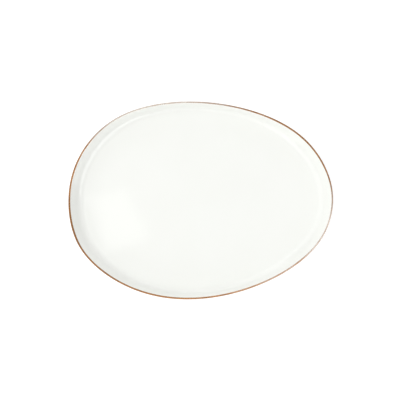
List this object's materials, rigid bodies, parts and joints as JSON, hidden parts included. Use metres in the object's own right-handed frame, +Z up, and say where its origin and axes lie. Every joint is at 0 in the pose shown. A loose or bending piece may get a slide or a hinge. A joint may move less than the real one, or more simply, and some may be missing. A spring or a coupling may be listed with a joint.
{
  "type": "serving platter",
  "caption": "Shallow egg-shaped oval platter of white glazed clay with a flared wall, flat well, bare foot ring and copper-coloured lip band, for serving and display.",
  "frame": {"origin": "centre of the platter's box in plan, on the plane that the foot ring stands on", "axes": "+X along the length of the oval towards its narrower end, +Y across it, +Z up out of the well"},
  "size_m": [0.356, 0.266, 0.025],
  "materials": {
    "clay": "fired, under the glaze",
    "bare_clay": "bare fired clay, matt, ground flat",
    "glaze": "white gloss glaze",
    "lustre": "hand-painted copper-coloured metallic lustre"
  },
  "bodies": {
    "root": {"clay_body": "clay", "foot_ring": "bare_clay", "glaze_inside": "glaze", "glaze_outside": "glaze", "glaze_underside": "glaze", "rim_band": "lustre"}
  },
  "joints": []
}
